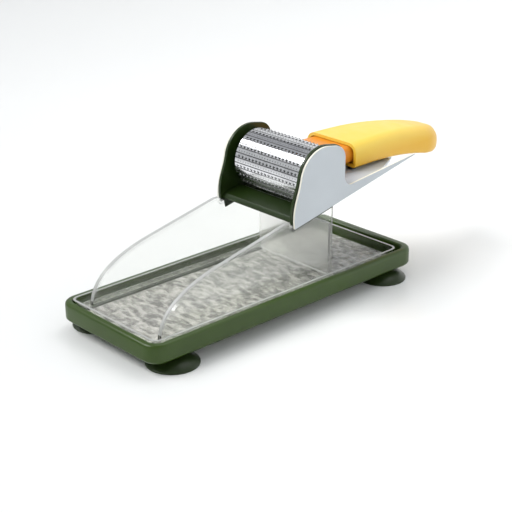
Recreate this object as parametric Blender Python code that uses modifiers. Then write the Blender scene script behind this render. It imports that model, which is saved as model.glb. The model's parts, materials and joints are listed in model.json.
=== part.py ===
"""Mandoline slicer with a grating drum: suction-footed tray, clear catch liner and splash guard, and a
slicing head that slides on the guard's sloping rails. Its grip is hinged like a lid over the food cup.

Model axes: X across the tray, Y from the open front to the grip, Z up, and Z = 0 on the table.
Everything is built about the middle of the tray, and the bench empty then centres the whole object.
"""

import math

import bmesh
import bpy
from mathutils import Matrix, Vector

MM = 0.001
FIT_GAP = 0.3 * MM  # clearance between pieces that touch or slide on the real object
SHARP_ANGLE = math.radians(34)  # corners sharper than this aren't shaded smooth

# Drum: the driving width of the whole slicer
DRUM_LENGTH = 56.8 * MM
DRUM_RADIUS = 18.3 * MM
DRUM_WALL = 0.8 * MM
DRUM_END_GAP = 0.4 * MM
SPACER_THICKNESS = 5 * MM  # washer between the left cheek and the drum
DRUM_HOLE_RADIUS = 1.5 * MM
DRUM_HOLE_ROWS = 10
DRUM_HOLES_IN_ROW = 7
CAP_THICKNESS = 4 * MM
CAP_RECESS = 1 * MM
HUB_RADIUS = 6 * MM
HUB_HEIGHT = 3 * MM
AXLE_RADIUS = 2.5 * MM
BUSH_WALL = 1.4 * MM

# Head
CHEEK_THICKNESS = 1.9 * MM
CHEEK_REVEAL = 0.6 * MM  # green edge that shows round the grey side plate
PLATE_THICKNESS = 1.5 * MM
PLATE_OVERHANG = 1 * MM  # the plates hang this far down outside the rails
DOME_MARGIN = 1.6 * MM
SHOULDER_RADIUS = 9.4 * MM  # rear upper corner of the side plates
SHOULDER_BULGE = 2 * MM  # how far that corner stands out of the dome
DRUM_LIFT = 0.5 * MM  # the drum's underside above the runners
HEAD_FRONT_REACH = 24.8 * MM  # drum axis to the front foot of the side plates
NOTCH_RADIUS = 6.5 * MM
NOTCH_DROP = 2.9 * MM  # centre of the notch's fillet below the drum axis
ARM_REACH = 84 * MM  # drum axis to the tips of the arms
ARM_TIP_HEIGHT = 0.8 * MM
BLADE_THICKNESS = 0.8 * MM
BLADE_GAP = 0.8 * MM  # drum skin to the rear of the ramp
BLADE_EDGE = 2.2 * MM  # the blade stands out this far behind the ramp
BLADE_INSET = 2.4 * MM
RAMP_THICKNESS = 1.8 * MM
SCREW_SPACING = 17 * MM
SCREW_HEAD_RADIUS = 2.2 * MM
SCREW_HEAD_HEIGHT = 0.9 * MM
SCREW_SHANK_RADIUS = 1.1 * MM
SCRAPER_DEPTH = 7.4 * MM
SKIRT_REACH = 16 * MM  # the scraper's skirt goes this far forward, between the runners
SKIRT_DROP = 5.5 * MM
SKIRT_THICKNESS = 2 * MM
DRUM_CLEARANCE = 1.2 * MM  # drum skin to the scraper and the food cup
RUNNER_THICKNESS = 0.8 * MM
RUNNER_WEB = 0.8 * MM
RUNNER_LEG = 4.5 * MM  # hangs down inside the rail

# Rails and splash guard
RAIL_ANGLE = math.radians(12)
RAIL_HEIGHT = 60.9 * MM  # top of the rail under the drum's axis
GUARD_WALL = 2 * MM
GUARD_STEP = 4.4 * MM  # the guard is this much taller in front of the head
STEP_SET = 1.3 * MM  # the step's face ahead of the side plates
GUARD_BEAD = 0.4 * MM  # the rails and feet stand out this far past the walls
FLANGE_WIDTH = 2.8 * MM
FLANGE_THICKNESS = 2 * MM
GUARD_REAR = 10.5 * MM  # drum axis to the guard's rear edge
GUARD_FRONT_SET = 14.5 * MM  # tray front to the foot of the guard's arc
ARC_REACH = 45.5 * MM
REAR_PANEL_DROP = 14 * MM
FOOT_FLANGE_THICKNESS = 1.6 * MM

# Tray, liner and feet
TRAY_LENGTH = 220 * MM
TRAY_HEIGHT = 12 * MM
TRAY_CORNER = 10 * MM
TRAY_FLOOR = 2.5 * MM
RIM_WIDTH = 4.6 * MM
REAR_RIM_WIDTH = 6 * MM
FINGER_GAP = 6 * MM  # behind the liner, so that it can be lifted out
LINER_WALL = 1.5 * MM
LINER_FLOOR = 1.6 * MM
LINER_LIP = 0.7 * MM
GALLERY = 5.6 * MM  # guard wall to liner wall
HEAD_SETBACK = 77 * MM  # tray rear to the drum's axis
STOP_WIDTH = 2 * MM
STOP_LENGTH = 5 * MM
FOOT_HEIGHT = 7 * MM
FOOT_RADIUS = 16 * MM
FOOT_RING = 2.4 * MM
FOOT_HOLLOW = 2.6 * MM
FOOT_NECK_RADIUS = 5.5 * MM
FOOT_STEM_RADIUS = 3 * MM
FOOT_HEAD_RADIUS = 4.4 * MM
FOOT_HEAD_HEIGHT = 1.5 * MM
FOOT_SIDE_SET = 10.3 * MM
FOOT_END_SET = 21.3 * MM

# Grip, food cup and hinge
LIP_SET = 42 * MM  # drum axis to the front lip of the grip
GRIP_LENGTH = 100 * MM
GRIP_HALF_WIDTH = 21.6 * MM
GRIP_TAIL_HALF_WIDTH = 17 * MM
GRIP_HEIGHT = 15.8 * MM
GRIP_CORNER = 6.5 * MM
GRIP_LOW_CORNER = 2.2 * MM
GRIP_NOSE = 24 * MM  # length of the tail's rounding seen from above
GRIP_NOSE_SIDE = 10 * MM  # and seen from the side
GRIP_TAIL_CORNER = 8.6 * MM
GRIP_WALL = 2 * MM
NOSE_SOLID = 10 * MM  # thickness left at the end of the tail
GRIP_BASE_THICKNESS = 2 * MM
GRIP_ABOVE_AXIS = 9 * MM  # top of the grip's lip above the drum's axis
GRIP_TOP_FLAT = 20 * MM
GRIP_TOP_CURVE = 1.7  # droop of the top line, per metre
GRIP_BOTTOM_FLAT = 8 * MM
GRIP_BOTTOM_CURVE = 1.7  # droop of the bottom line, per metre
CUP_WALL = 1.6 * MM
CUP_DEPTH = 18 * MM  # how far the food cup goes into the grip
PIN_RADIUS = 1.6 * MM
PIN_SET = 45 * MM  # lip to the hinge pin
PIN_RISE = 5.6 * MM  # underside of the grip to the hinge pin
EAR_THICKNESS = 3 * MM
EAR_RADIUS = 3.4 * MM
BOSS_HALF_WIDTH = 5.6 * MM
TONGUE_THICKNESS = 1.8 * MM
TONGUE_TAIL_HALF = 15 * MM
KEEL_DROP = 3.4 * MM
KEEL_MARGIN = 0.5 * MM  # keel beyond the ears that stand on it
PAD_RADIUS = 2.5 * MM
PAD_SPREAD = 15.5 * MM
PAD_SET = 3.4 * MM
PAD_HEIGHT = 1.4 * MM
GRIP_SCREW_SETS = (28 * MM, 68 * MM)  # lip to the two screws under the grip
POST_RADIUS = 2.8 * MM

# Sizes and places that follow from the values above
CHEEK_INNER = (DRUM_LENGTH + 2 * DRUM_END_GAP + SPACER_THICKNESS) / 2
DRUM_X = SPACER_THICKNESS / 2
CHEEK_OUTER = CHEEK_INNER + CHEEK_THICKNESS
PLATE_INNER = CHEEK_OUTER + FIT_GAP
HEAD_HALF_WIDTH = PLATE_INNER + PLATE_THICKNESS
GUARD_OUTER = CHEEK_OUTER
GUARD_INNER = GUARD_OUTER - GUARD_WALL - 2 * GUARD_BEAD
FLANGE_INNER = GUARD_OUTER - FLANGE_WIDTH
LINER_INNER = GUARD_OUTER + GALLERY
LINER_OUTER = LINER_INNER + LINER_WALL
TRAY_POCKET = LINER_OUTER + FIT_GAP
TRAY_HALF_WIDTH = TRAY_POCKET + RIM_WIDTH
TRAY_FRONT = -TRAY_LENGTH / 2
TRAY_REAR = TRAY_LENGTH / 2
TRAY_TOP = FOOT_HEIGHT + TRAY_HEIGHT
TRAY_FLOOR_TOP = FOOT_HEIGHT + TRAY_FLOOR
POCKET_FRONT = TRAY_FRONT + RIM_WIDTH
POCKET_REAR = TRAY_REAR - REAR_RIM_WIDTH
LINER_FRONT = POCKET_FRONT + FIT_GAP
LINER_REAR = POCKET_REAR - FINGER_GAP
LINER_CORNER = TRAY_CORNER - RIM_WIDTH - FIT_GAP - LINER_WALL
LINER_BOTTOM = TRAY_FLOOR_TOP + FOOT_HEAD_HEIGHT + 2 * FIT_GAP  # stands on the heads of the feet
LINER_FLOOR_TOP = LINER_BOTTOM + LINER_FLOOR
LINER_TOP = TRAY_TOP + LINER_LIP
DRUM_Y = TRAY_REAR - HEAD_SETBACK
DRUM_Z = RAIL_HEIGHT + (DRUM_RADIUS + RUNNER_THICKNESS + FIT_GAP + DRUM_LIFT) / math.cos(RAIL_ANGLE)
AXIS = Vector((DRUM_X, DRUM_Y, DRUM_Z))
DOME_RADIUS = DRUM_RADIUS + DOME_MARGIN
HEAD_REAR = DRUM_Y + DRUM_RADIUS - FIT_GAP
HEAD_FRONT = DRUM_Y - HEAD_FRONT_REACH
ARM_TIP = DRUM_Y + ARM_REACH
RUNNER_STACK = RUNNER_THICKNESS + 2 * FIT_GAP
RUNNER_INNER = FLANGE_INNER - FIT_GAP - RUNNER_WEB
STEP_Y = HEAD_FRONT - STEP_SET
RUNNER_FRONT = HEAD_FRONT + 0.8 * MM
LIP_Y = DRUM_Y + LIP_SET
GRIP_TOP = DRUM_Z + GRIP_ABOVE_AXIS
GRIP_BOTTOM = GRIP_TOP - GRIP_HEIGHT
GRIP_END = LIP_Y + GRIP_LENGTH
PIN = Vector((0, LIP_Y + PIN_SET, GRIP_BOTTOM + PIN_RISE))
TAPER_START = LIP_Y + 2 * MM
NOTCH_BOTTOM = DRUM_Z - NOTCH_DROP - NOTCH_RADIUS
GUARD_REAR_Y = DRUM_Y + GUARD_REAR
GUARD_FOOT_Y = TRAY_FRONT + GUARD_FRONT_SET

HEAD_REAR_GREEN = HEAD_REAR + CHEEK_REVEAL
ALONG_X = (math.radians(90), 0, math.radians(90))  # turns an outline in (Y, Z) to face along X


def rail_z(y):
    """Height of the rails' top, which slopes up towards the grip."""
    return RAIL_HEIGHT + (y - DRUM_Y) * math.tan(RAIL_ANGLE)


def plate_foot_z(y):
    """Lower edge of the side plates, parallel to the rails and outside them."""
    return rail_z(y) - PLATE_OVERHANG


def cheek_foot_z(y):
    """Lower edge of the cheeks, which stand on the runners."""
    return rail_z(y) + RUNNER_STACK


ARM_TIP_Z = plate_foot_z(ARM_TIP) + ARM_TIP_HEIGHT
NOTCH_END = HEAD_REAR + NOTCH_RADIUS


def arm_top_z(y):
    """Upper edge of the arms behind the notch."""
    share = (y - NOTCH_END) / (ARM_TIP - NOTCH_END)
    return NOTCH_BOTTOM + share * (ARM_TIP_Z - NOTCH_BOTTOM)


# ---------------------------------------------------------------- scene and materials


def clear_scene():
    for obj in list(bpy.data.objects):
        bpy.data.objects.remove(obj, do_unlink=True)


def new_collection(name):
    collection = bpy.data.collections.new(name)
    bpy.context.scene.collection.children.link(collection)
    return collection


def new_material(name, colour, roughness, metallic=0.0, transmission=0.0):
    material = bpy.data.materials.new(name)
    material.use_nodes = True
    shader = material.node_tree.nodes["Principled BSDF"]
    shader.inputs["Base Color"].default_value = (*colour, 1)
    shader.inputs["Roughness"].default_value = roughness
    shader.inputs["Metallic"].default_value = metallic
    shader.inputs["Transmission Weight"].default_value = transmission
    material.diffuse_color = (*colour, 1)
    return material


clear_scene()
PARTS = new_collection("mandoline_slicer")
HELPERS = new_collection("cutters")
GREEN = new_material("green_plastic", (0.075, 0.13, 0.03), 0.3)
DARK_GREEN = new_material("green_cheek", (0.05, 0.1, 0.02), 0.35)
RUBBER = new_material("green_rubber", (0.05, 0.085, 0.02), 0.5)
CLEAR = new_material("clear_plastic", (0.95, 0.97, 0.95), 0.05, transmission=1.0)
GREY = new_material("grey_plate", (0.5, 0.53, 0.56), 0.4)
YELLOW = new_material("yellow_grip", (0.9, 0.55, 0.04), 0.35)
AMBER = new_material("amber_cup", (0.8, 0.25, 0.01), 0.35)
STEEL = new_material("steel", (0.75, 0.75, 0.76), 0.2, metallic=1.0)
NYLON = new_material("white_nylon", (0.85, 0.85, 0.82), 0.5)


# ---------------------------------------------------------------- shapes


def arc(centre, radius, start, end, steps):
    """Points on a circle in the outline's plane, angles in degrees, both ends included."""
    angles = [math.radians(start + (end - start) * i / steps) for i in range(steps + 1)]
    return [(centre[0] + radius * math.cos(a), centre[1] + radius * math.sin(a)) for a in angles]


def bezier(p0, p1, p2, p3, steps):
    """Points on a cubic curve, both ends included."""
    points = []
    for i in range(steps + 1):
        t = i / steps
        s = 1 - t
        weights = (s**3, 3 * s * s * t, 3 * s * t * t, t**3)
        points.append(tuple(sum(w * p[k] for w, p in zip(weights, (p0, p1, p2, p3))) for k in (0, 1)))
    return points


def add(obj, material, collection=None):
    obj.data.materials.append(material)
    (collection or PARTS).objects.link(obj)
    return obj


def mesh_object(name, mesh, material):
    """An object of a mesh whose round faces are shaded smooth and whose corners stay sharp."""
    if mesh.polygons:
        mesh.shade_smooth()
        mesh.set_sharp_from_angle(angle=SHARP_ANGLE)
    return add(bpy.data.objects.new(name, mesh), material)


def mesh_from(name, bm):
    bmesh.ops.recalc_face_normals(bm, faces=bm.faces)
    mesh = bpy.data.meshes.new(name)
    bm.to_mesh(mesh)
    bm.free()
    return mesh


def slab(name, outline, thickness, material, location=(0, 0, 0), rotation=ALONG_X):
    """A flat outline given a thickness, as a mesh. By default the outline is in (Y, Z) and faces along X."""
    curve = bpy.data.curves.new(name, "CURVE")
    curve.dimensions = "2D"
    curve.fill_mode = "BOTH"
    curve.extrude = thickness / 2
    spline = curve.splines.new("POLY")
    spline.points.add(len(outline) - 1)
    for point, (u, v) in zip(spline.points, outline):
        point.co = (u, v, 0, 1)
    spline.use_cyclic_u = True
    flat = bpy.data.objects.new(name + "_outline", curve)
    flat.location = location
    flat.rotation_euler = rotation
    HELPERS.objects.link(flat)
    bpy.context.view_layer.update()
    graph = bpy.context.evaluated_depsgraph_get()
    mesh = bpy.data.meshes.new_from_object(flat.evaluated_get(graph))
    place = flat.matrix_world.copy()
    bpy.data.objects.remove(flat, do_unlink=True)
    mesh.transform(place)
    bm = bmesh.new()
    bm.from_mesh(mesh)
    bmesh.ops.remove_doubles(bm, verts=bm.verts, dist=1e-6)
    bpy.data.meshes.remove(mesh)
    return mesh_object(name, mesh_from(name, bm), material)


def block(name, low, high, material):
    """A box between two corners."""
    bm = bmesh.new()
    bmesh.ops.create_cube(bm, size=1)
    size = Vector(high) - Vector(low)
    middle = (Vector(high) + Vector(low)) / 2
    bmesh.ops.transform(bm, matrix=Matrix.Translation(middle) @ Matrix.Diagonal((*size, 1)), verts=bm.verts)
    return mesh_object(name, mesh_from(name, bm), material)


def rod(name, centre, radius, length, direction, material, sides=24):
    """A cylinder whose middle is at centre."""
    bm = bmesh.new()
    bmesh.ops.create_cone(
        bm, cap_ends=True, segments=sides, radius1=radius, radius2=radius, depth=length
    )
    turn = Vector((0, 0, 1)).rotation_difference(Vector(direction)).to_matrix().to_4x4()
    bmesh.ops.transform(bm, matrix=Matrix.Translation(centre) @ turn, verts=bm.verts)
    return mesh_object(name, mesh_from(name, bm), material)


def turned(name, profile, centre, direction, material, steps=32):
    """A (radius, height) profile turned once about the direction through centre, from its top down."""
    mesh = bpy.data.meshes.new(name)
    count = len(profile)
    solid = profile[0][0] == 0 and profile[-1][0] == 0
    edges = [(i, (i + 1) % count) for i in range(count - 1 if solid else count)]
    mesh.from_pydata([(r, 0, h) for r, h in profile], edges, [])
    obj = mesh_object(name, mesh, material)
    screw = obj.modifiers.new("turn", "SCREW")
    screw.steps = steps
    screw.render_steps = steps
    screw.use_merge_vertices = True
    screw.merge_threshold = 1e-5
    screw.use_smooth_shade = False
    obj.location = centre
    obj.rotation_euler = Vector((0, 0, 1)).rotation_difference(Vector(direction)).to_euler()
    return obj


def loft(name, rings, material):
    """A closed skin through rings of equal count, capped at both ends."""
    bm = bmesh.new()
    rows = [[bm.verts.new(p) for p in ring] for ring in rings]
    for low, high in zip(rows, rows[1:]):
        count = len(low)
        for i in range(count):
            j = (i + 1) % count
            bm.faces.new((low[i], low[j], high[j], high[i]))
    bm.faces.new(rows[0])
    bm.faces.new(rows[-1])
    return mesh_object(name, mesh_from(name, bm), material)


def flat_ring(half_x, front, rear, corner, z, steps=5):
    """A rounded rectangle at height z."""
    middle = (front + rear) / 2
    half_y = (rear - front) / 2
    return rounded_ring(half_x, half_y, corner, lambda u, v: Vector((u, middle + v, z)), steps)


def upright_ring(y, half_x, low, high, corner, low_corner=None, steps=5):
    """A rounded rectangle across the grip at y. Its lower corners may be sharper than its upper ones."""
    middle = (low + high) / 2
    half_z = (high - low) / 2
    return rounded_ring(half_x, half_z, corner, lambda u, v: Vector((u, y, middle + v)), steps, low_corner)


def rounded_ring(half_u, half_v, corner, place, steps, low_corner=None):
    points = []
    for quarter, (su, sv) in enumerate(((1, 1), (-1, 1), (-1, -1), (1, -1))):
        wanted = corner if sv > 0 or low_corner is None else low_corner
        radius = min(wanted, 0.98 * half_u, 0.98 * half_v)
        centre = (su * (half_u - radius), sv * (half_v - radius))
        points += arc(centre, radius, 90 * quarter, 90 * quarter + 90, steps)
    return [place(u, v) for u, v in points]


def boolean(obj, other, operation):
    """Cuts other from obj, or joins it on. The other shape becomes a helper that isn't rendered."""
    modifier = obj.modifiers.new(operation.lower(), "BOOLEAN")
    modifier.operation = operation
    modifier.solver = "EXACT"
    modifier.object = other
    if PARTS.objects.get(other.name):
        PARTS.objects.unlink(other)
        HELPERS.objects.link(other)
    other.hide_render = True
    other.display_type = "WIRE"
    return obj


def cut(obj, *others):
    for other in others:
        boolean(obj, other, "DIFFERENCE")
    return obj


def join(obj, *others):
    for other in others:
        boolean(obj, other, "UNION")
    return obj


# ---------------------------------------------------------------- tray, liner and feet


def build_tray():
    """The green tray: a rounded rim all round, a flat floor, and a hole for each foot's stem."""
    edge = 1.5 * MM
    rim = 2 * MM
    top_front = POCKET_FRONT
    top_rear = POCKET_REAR
    pocket_corner = TRAY_CORNER - RIM_WIDTH
    rings = [
        flat_ring(TRAY_HALF_WIDTH - edge, TRAY_FRONT + edge, TRAY_REAR - edge, TRAY_CORNER - edge, FOOT_HEIGHT),
        flat_ring(TRAY_HALF_WIDTH, TRAY_FRONT, TRAY_REAR, TRAY_CORNER, FOOT_HEIGHT + edge),
        flat_ring(TRAY_HALF_WIDTH, TRAY_FRONT, TRAY_REAR, TRAY_CORNER, TRAY_TOP - rim),
    ]
    for degrees in (30, 60, 90):
        inset = rim * (1 - math.cos(math.radians(degrees)))
        z = TRAY_TOP - rim + rim * math.sin(math.radians(degrees))
        rings.append(
            flat_ring(TRAY_HALF_WIDTH - inset, TRAY_FRONT + inset, TRAY_REAR - inset, TRAY_CORNER - inset, z)
        )
    lip = 0.8 * MM
    rings += [
        flat_ring(TRAY_POCKET + lip, top_front - lip, top_rear + lip, pocket_corner + lip, TRAY_TOP),
        flat_ring(TRAY_POCKET, top_front, top_rear, pocket_corner, TRAY_TOP - lip),
        flat_ring(TRAY_POCKET, top_front, top_rear, pocket_corner, TRAY_FLOOR_TOP),
    ]
    tray = loft("base_tray", rings, GREEN)
    for name, x, y in foot_places():
        hole = rod("hole_" + name, (x, y, FOOT_HEIGHT), FOOT_STEM_RADIUS + FIT_GAP, 4 * TRAY_FLOOR, (0, 0, 1), GREEN)
        cut(tray, hole)
    return tray


def foot_places():
    x = TRAY_HALF_WIDTH - FOOT_SIDE_SET
    return [
        ("front_left", -x, TRAY_FRONT + FOOT_END_SET),
        ("front_right", x, TRAY_FRONT + FOOT_END_SET),
        ("rear_left", -x, TRAY_REAR - FOOT_END_SET),
        ("rear_right", x, TRAY_REAR - FOOT_END_SET),
    ]


def build_feet():
    """Rubber suction cups. Each has a stem through the tray and a head that holds it above the floor."""
    shoulder = FOOT_HEIGHT - FIT_GAP
    head = TRAY_FLOOR_TOP + FIT_GAP
    profile = [
        (0, head + FOOT_HEAD_HEIGHT),
        (FOOT_HEAD_RADIUS * 0.6, head + FOOT_HEAD_HEIGHT),
        (FOOT_HEAD_RADIUS, head + FOOT_HEAD_HEIGHT / 2),
        (FOOT_HEAD_RADIUS, head),
        (FOOT_STEM_RADIUS, head),
        (FOOT_STEM_RADIUS, shoulder),
        (FOOT_NECK_RADIUS, shoulder),
        (FOOT_NECK_RADIUS + 0.5 * MM, shoulder - 1.2 * MM),
        (FOOT_RADIUS * 0.66, shoulder * 0.66),
        (FOOT_RADIUS * 0.9, shoulder * 0.34),
        (FOOT_RADIUS, 0.8 * MM),
        (FOOT_RADIUS, 0),
        (FOOT_RADIUS - FOOT_RING, 0),
        (FOOT_RADIUS * 0.6, FOOT_HOLLOW * 0.7),
        (0, FOOT_HOLLOW),
    ]
    return [
        turned("suction_foot_" + name, profile, (x, y, 0), (0, 0, 1), RUBBER, steps=24)
        for name, x, y in foot_places()
    ]


def build_liner():
    """The clear catch liner: a shallow pan with a thin lip, and two blocks that stop the guard."""
    corner = LINER_CORNER + LINER_WALL
    inner = LINER_CORNER
    taper = 1 * MM
    front = LINER_FRONT + LINER_WALL
    rear = LINER_REAR - LINER_WALL
    rings = [
        flat_ring(LINER_OUTER - taper, LINER_FRONT + taper, LINER_REAR - taper, corner - taper, LINER_BOTTOM),
        flat_ring(LINER_OUTER, LINER_FRONT, LINER_REAR, corner, LINER_BOTTOM + taper),
        flat_ring(LINER_OUTER, LINER_FRONT, LINER_REAR, corner, LINER_TOP),
        flat_ring(LINER_INNER, front, rear, inner, LINER_TOP),
        flat_ring(LINER_INNER, front, rear, inner, LINER_FLOOR_TOP),
    ]
    liner = loft("catch_liner", rings, CLEAR)
    sink = 0.6 * MM
    start = GUARD_REAR_Y + FIT_GAP
    for side in (-1, 1):
        xs = sorted((side * GUARD_OUTER, side * (GUARD_OUTER + STOP_LENGTH)))
        low = (xs[0], start, LINER_FLOOR_TOP - sink)
        high = (xs[1], start + STOP_WIDTH, LINER_FLOOR_TOP + 2 * FOOT_FLANGE_THICKNESS)
        join(liner, block(f"guard_stop_{side}", low, high, CLEAR))
    return liner


# ---------------------------------------------------------------- splash guard


def guard_top_line():
    """The guard's top edge from rear to front: the rail, the step, a straight run, and the arc."""
    start_y = GUARD_FOOT_Y + ARC_REACH
    start = (start_y, rail_z(start_y) + GUARD_STEP)
    foot = (GUARD_FOOT_Y, LINER_FLOOR_TOP + FIT_GAP)
    reach = 0.62 * ARC_REACH
    lean = (start[0] - reach * math.cos(RAIL_ANGLE), start[1] - reach * math.sin(RAIL_ANGLE))
    rise = (foot[0], foot[1] + 0.52 * (start[1] - foot[1]))
    ramp = STEP_Y - 1.2 * GUARD_STEP
    straight = [
        (GUARD_REAR_Y, rail_z(GUARD_REAR_Y)),
        (STEP_Y, rail_z(STEP_Y)),
        (STEP_Y - 0.3 * GUARD_STEP, rail_z(STEP_Y) + 0.75 * GUARD_STEP),
        (ramp, rail_z(ramp) + GUARD_STEP),
    ]
    return straight + bezier(start, lean, rise, foot, 12)


def offset_line(line, distance):
    """The same line moved to its left side by distance."""
    moved = []
    for i, (u, v) in enumerate(line):
        before = line[max(i - 1, 0)]
        after = line[min(i + 1, len(line) - 1)]
        du, dv = after[0] - before[0], after[1] - before[1]
        size = math.hypot(du, dv)
        moved.append((u - dv / size * distance, v + du / size * distance))
    return moved


def build_guard():
    """One clear moulding: two side walls with flanged rails, a low rear panel and foot flanges."""
    floor = LINER_FLOOR_TOP + FIT_GAP
    top = guard_top_line()
    under = offset_line(top, FLANGE_THICKNESS)
    crest = offset_line(top, FLANGE_THICKNESS / 2)
    wall_foot = floor + FOOT_FLANGE_THICKNESS / 2
    wall_rear = GUARD_REAR_Y - GUARD_BEAD
    wall_outline = [(wall_rear, crest[0][1])] + crest[1:-1] + [(crest[-1][0], wall_foot), (wall_rear, wall_foot)]
    rail_outline = top + under[::-1]
    panel_top = rail_z(GUARD_REAR_Y) - REAR_PANEL_DROP
    panel_half = GUARD_OUTER - GUARD_BEAD - GUARD_WALL / 2
    guard = block(
        "splash_guard",
        (-panel_half, wall_rear - GUARD_BEAD - GUARD_WALL, wall_foot + GUARD_BEAD),
        (panel_half, wall_rear - GUARD_BEAD, panel_top),
        CLEAR,
    )
    front = LINER_FRONT + LINER_WALL + LINER_CORNER
    for side, label in ((-1, "left"), (1, "right")):
        wall_x = side * (GUARD_OUTER - GUARD_BEAD - GUARD_WALL / 2)
        rail_x = side * (GUARD_OUTER - FLANGE_WIDTH / 2)
        wall = slab("guard_wall_" + label, wall_outline, GUARD_WALL, CLEAR, location=(wall_x, 0, 0))
        rail = slab("guard_rail_" + label, rail_outline, FLANGE_WIDTH, CLEAR, location=(rail_x, 0, 0))
        xs = sorted((side * GUARD_INNER, side * (LINER_INNER - FIT_GAP)))
        low = (xs[0], front, floor)
        high = (xs[1], GUARD_REAR_Y, floor + FOOT_FLANGE_THICKNESS)
        foot = block("guard_foot_" + label, low, high, CLEAR)
        join(guard, wall, rail, foot)
    return guard


# ---------------------------------------------------------------- head


def head_outline(reveal, foot_z):
    """Foot, front edge, dome and rear shoulder of a cheek or side plate, reveal larger than the plate."""
    radius = DOME_RADIUS + reveal
    brow = math.radians(172)
    top = (DRUM_Y + radius * math.cos(brow), DRUM_Z + radius * math.sin(brow))
    foot_y = HEAD_FRONT - reveal
    foot = (foot_y, foot_z(foot_y))
    height = top[1] - foot[1]
    lean = (foot_y - 2.4 * MM, foot[1] + 0.45 * height)
    front = bezier(foot, lean, (top[0] - 1.4 * MM, top[1] - 0.3 * height), top, 8)
    reach = DOME_RADIUS + SHOULDER_BULGE - SHOULDER_RADIUS
    across = HEAD_REAR - SHOULDER_RADIUS - DRUM_Y
    rise = math.sqrt(reach**2 - across**2)
    crown = math.degrees(math.atan2(rise, across) + math.acos((DOME_RADIUS - SHOULDER_RADIUS) / reach))
    dome = arc((DRUM_Y, DRUM_Z), radius, 172, crown, 14)
    shoulder = arc((DRUM_Y + across, DRUM_Z + rise), SHOULDER_RADIUS + reveal, crown, 0, 10)
    return front + dome[1:] + shoulder


def build_cheeks():
    """Green inner cheeks that carry the drum's bushes."""
    outline = head_outline(CHEEK_REVEAL, cheek_foot_z)
    rear_y = HEAD_REAR + CHEEK_REVEAL
    outline.append((rear_y, cheek_foot_z(rear_y)))
    bore = AXLE_RADIUS + 2 * FIT_GAP + BUSH_WALL
    cheeks = []
    for side, label in ((-1, "left"), (1, "right")):
        x = side * (CHEEK_INNER + CHEEK_THICKNESS / 2)
        cheek = slab("cheek_" + label, outline, CHEEK_THICKNESS, DARK_GREEN, location=(x, 0, 0))
        hole = rod("bush_bore_" + label, (x, DRUM_Y, DRUM_Z), bore, 3 * CHEEK_THICKNESS, (1, 0, 0), DARK_GREEN)
        cheeks.append(cut(cheek, hole))
    return cheeks


def build_side_plates():
    """Grey outer plates: the dome over the drum, a rounded notch, and a tapering arm under the grip."""
    outline = head_outline(0, plate_foot_z)
    notch = (HEAD_REAR + NOTCH_RADIUS, NOTCH_BOTTOM + NOTCH_RADIUS)
    outline += arc(notch, NOTCH_RADIUS, 180, 264, 7)
    outline += [(ARM_TIP, ARM_TIP_Z), (ARM_TIP, plate_foot_z(ARM_TIP))]
    return [
        slab(
            "side_plate_" + label,
            outline,
            PLATE_THICKNESS,
            GREY,
            location=(side * (PLATE_INNER + PLATE_THICKNESS / 2), 0, 0),
        )
        for side, label in ((-1, "left"), (1, "right"))
    ]


def deck_z(y):
    """Top of the tongue: a little below the arms' upper edge, and under the grip's rest pads."""
    return min(arm_top_z(max(y, NOTCH_END)) - 0.5 * MM, grip_bottom(y) - PAD_HEIGHT - 2 * FIT_GAP)


def build_tongue():
    """Grey tongue between the arms, narrowing to the rear. Its keel carries two ears for the hinge pin."""
    front = HEAD_REAR_GREEN + FIT_GAP
    rear = PIN.y - EAR_RADIUS - 0.6 * MM
    rings = []
    for i in range(13):
        y = front + (rear - front) * i / 12
        share = max(y - TAPER_START, 0) / (rear - TAPER_START)
        half = CHEEK_OUTER + (TONGUE_TAIL_HALF - CHEEK_OUTER) * share**1.4
        high = deck_z(y)
        low = min(plate_foot_z(y), high - TONGUE_THICKNESS)
        corners = ((half, low), (half, high), (-half, high), (-half, low))
        rings.append([Vector((x, y, z)) for x, z in corners])
    tongue = loft("arm_tongue", rings, GREY)
    ear_outer = BOSS_HALF_WIDTH + FIT_GAP + EAR_THICKNESS
    keel_front = front + 4 * MM
    keel_rear = PIN.y + EAR_RADIUS + KEEL_MARGIN
    keel_low = deck_z(rear) - TONGUE_THICKNESS - KEEL_DROP
    keel = [
        (keel_front, plate_foot_z(keel_front) + 0.8 * MM),
        (keel_front + 2 * KEEL_DROP, plate_foot_z(keel_front + 2 * KEEL_DROP) - KEEL_DROP / 2),
        (rear - 2 * KEEL_DROP, keel_low),
        (keel_rear, keel_low + KEEL_DROP / 2),
        (keel_rear, deck_z(rear) - 0.5 * MM),
        (keel_front, deck_z(keel_front) - 0.8 * MM),
    ]
    join(tongue, slab("tongue_keel", keel, 2 * (ear_outer + KEEL_MARGIN), GREY))
    ear = [(PIN.y + EAR_RADIUS, deck_z(rear) - 2 * MM)]
    ear += arc((PIN.y, PIN.z), EAR_RADIUS, 0, 180, 10)
    ear += [(PIN.y - EAR_RADIUS, deck_z(rear) - 2 * MM)]
    for side in (-1, 1):
        x = side * (ear_outer - EAR_THICKNESS / 2)
        join(tongue, slab(f"hinge_ear_{side}", ear, EAR_THICKNESS, GREY, location=(x, 0, 0)))
    cut(tongue, rod("pin_bore_tongue", PIN, PIN_RADIUS + FIT_GAP, 4 * ear_outer, (1, 0, 0), GREY))
    return tongue


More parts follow.
